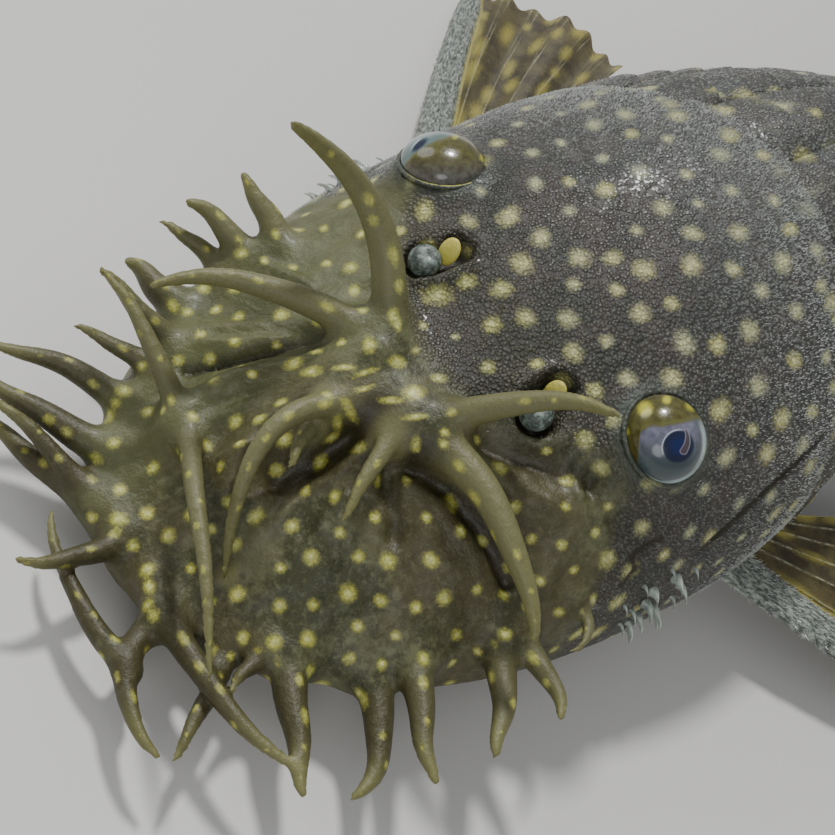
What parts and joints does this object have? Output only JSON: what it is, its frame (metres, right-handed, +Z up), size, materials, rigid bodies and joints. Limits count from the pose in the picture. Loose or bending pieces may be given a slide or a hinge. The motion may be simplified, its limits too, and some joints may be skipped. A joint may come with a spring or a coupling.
{
  "type": "bristlenose pleco, still life-size model",
  "caption": "Life-size still model of a live bristlenose pleco resting on the floor, with fleshy snout tentacles, cheek bristles, scute rows and spread fins.",
  "frame": {"origin": "on the floor plane, on the flat of the belly below the front of the dorsal fin, 45 mm behind the tip of the snout", "axes": "+Y from the snout towards the tail, +X towards the fish's left side, +Z up"},
  "size_m": [0.0765, 0.1378, 0.0394],
  "materials": {
    "skin": "wet olive-brown skin with pale yellow spots",
    "plates": "wet dark bony plates with pale yellow spots and fine bristles",
    "fin": "wet spotted fin membrane over bony rays",
    "eye": "clear wet cornea over a blue-grey iris",
    "bristle": "translucent ivory"
  },
  "bodies": {
    "root": {"snout": "skin", "head": "plates", "lips": "skin", "eye_left": "eye", "eye_right": "eye", "cheek_left": "bristle", "cheek_right": "bristle", "trunk": "plates", "tail_stalk": "plates", "pectoral_fin_left": "fin", "pectoral_fin_right": "fin", "pelvic_fin_left": "fin", "pelvic_fin_right": "fin", "dorsal_fin": "fin", "adipose_fin": "fin", "anal_fin": "fin", "tail_fin": "fin"}
  },
  "joints": []
}
